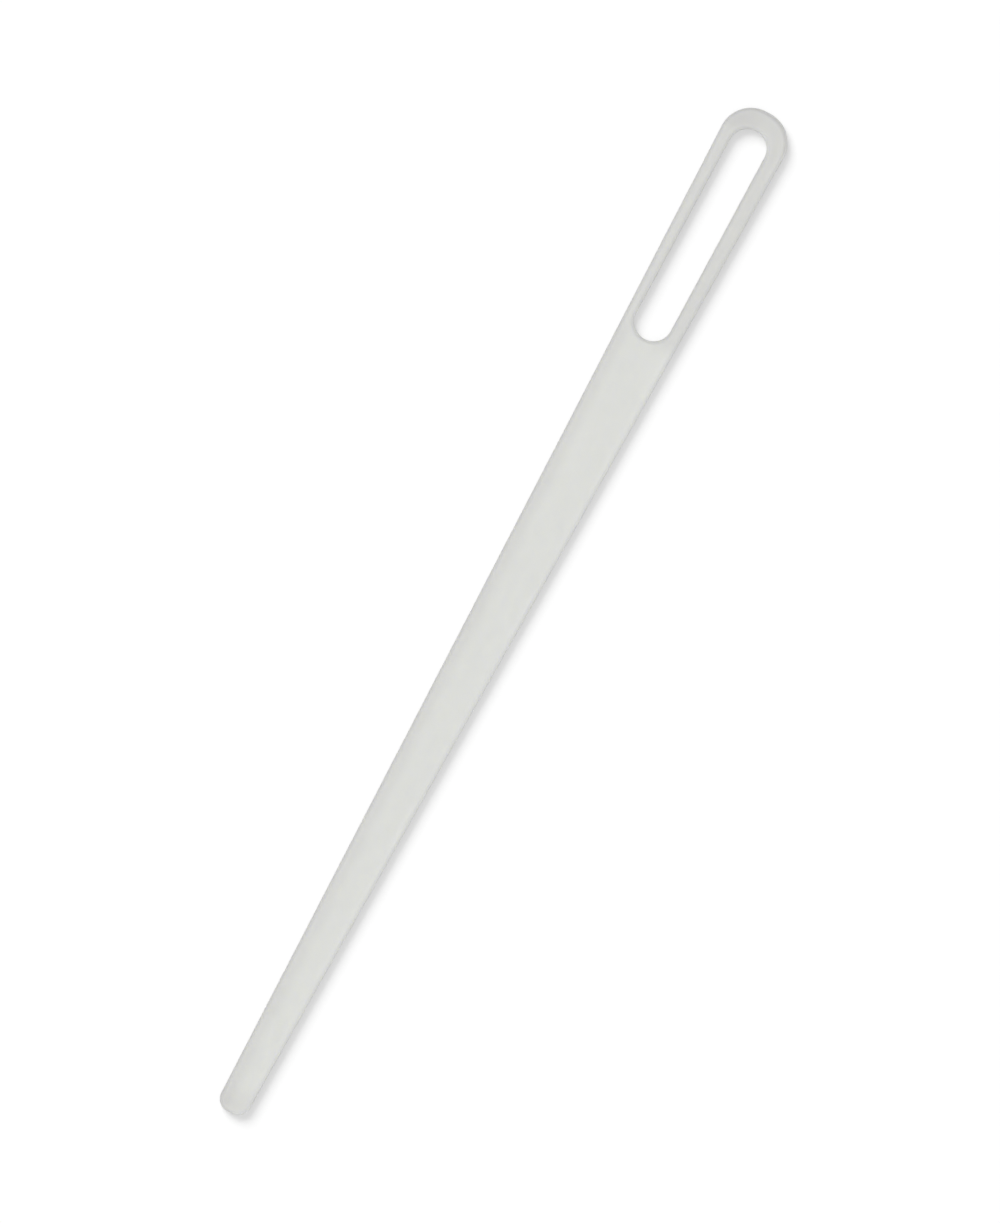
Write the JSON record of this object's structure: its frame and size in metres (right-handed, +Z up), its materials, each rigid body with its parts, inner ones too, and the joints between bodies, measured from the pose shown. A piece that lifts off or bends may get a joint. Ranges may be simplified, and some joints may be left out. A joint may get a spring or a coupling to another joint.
{
  "type": "drawcord threading needle",
  "caption": "Flat tapered plastic needle with a blunt rounded tip and a long eye in its wider head, for pulling a cord through a hem.",
  "frame": {"origin": "middle of the length and width, on the underside that it lies on", "axes": "+X along the length towards the eye, +Y across the width, +Z up out of the upper face"},
  "size_m": [0.17, 0.0104, 0.0018],
  "materials": {
    "milky_plastic": "milky off-white, slightly translucent, smooth satin as moulded"
  },
  "bodies": {
    "root": {"needle": "milky_plastic"}
  },
  "joints": []
}
